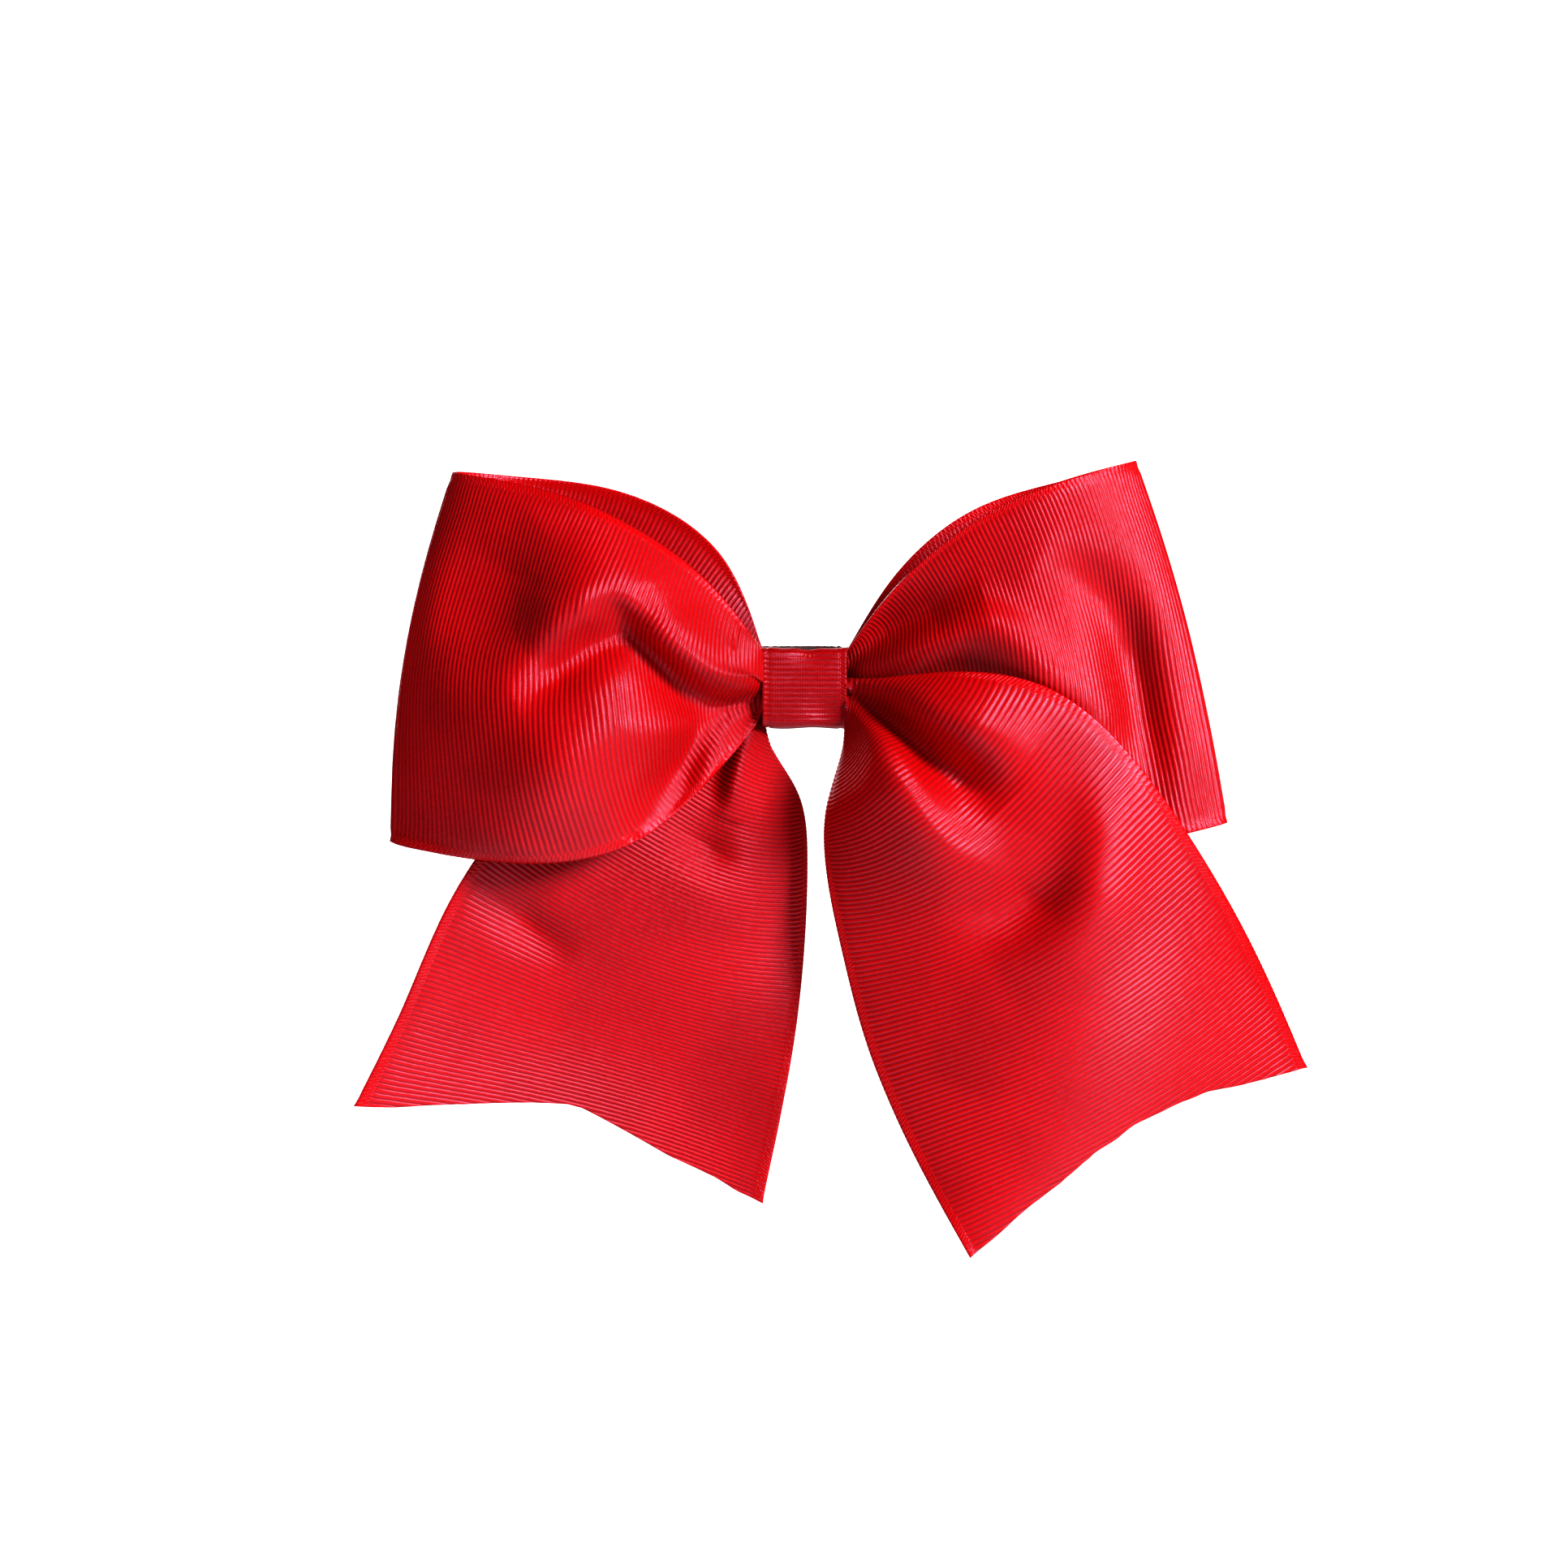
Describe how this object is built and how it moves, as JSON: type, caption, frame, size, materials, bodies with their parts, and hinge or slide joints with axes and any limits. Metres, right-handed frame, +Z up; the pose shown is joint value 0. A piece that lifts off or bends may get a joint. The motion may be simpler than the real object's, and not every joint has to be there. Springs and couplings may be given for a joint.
{
  "type": "hair bow",
  "caption": "Large cheer hair bow: wide ribbed ribbon tied as loops and tails, wrapped at the centre, on a sprung clip.",
  "frame": {"origin": "on the flat face of the clip's lower jaw that lies on the head, level with the middle of the knot in X and 4 mm above it", "axes": "+X along the loops and the clip, +Y into the head, +Z up"},
  "size_m": [0.183, 0.0377, 0.1511],
  "materials": {
    "ribbon": "satin",
    "wrap_ribbon": "satin",
    "lining_ribbon": "satin",
    "thread": "satin",
    "hot_glue": "satin",
    "clip_steel": "satin",
    "spring_steel": "satin"
  },
  "bodies": {
    "bow": {"left_loop": "ribbon", "right_loop": "ribbon", "gathered_knot": "ribbon", "centre_wrap": "wrap_ribbon", "binding_thread": "thread", "wrap_glue": "hot_glue", "clip_glue": "hot_glue", "clip_lining": "lining_ribbon", "upper_jaw": "clip_steel", "hinge_pin": "clip_steel", "torsion_spring": "spring_steel"},
    "clip_jaw": {"lower_jaw": "clip_steel"},
    "right_tail": {"right_tail": "ribbon"},
    "left_tail": {"left_tail": "ribbon"}
  },
  "joints": [
    {"name": "jaw_hinge", "type": "hinge", "parent": "bow", "child": "clip_jaw", "pos_m": [0.013, -0.0029, 0], "axis": [0, 0, -1], "range_deg": [0, 25], "stiffness_Nm_per_rad": 0.06, "springref_deg": -28.65, "deforming": ["torsion_spring"]},
    {"name": "right_tail_swing", "type": "hinge", "parent": "bow", "child": "right_tail", "pos_m": [0.0084, -0.015, -0.004], "axis": [-1, 0, 0], "range_deg": [0, 25], "stiffness_Nm_per_rad": 0.02},
    {"name": "left_tail_swing", "type": "hinge", "parent": "bow", "child": "left_tail", "pos_m": [-0.0084, -0.012, -0.004], "axis": [-1, 0, 0], "range_deg": [-6, 10], "stiffness_Nm_per_rad": 0.02}
  ]
}
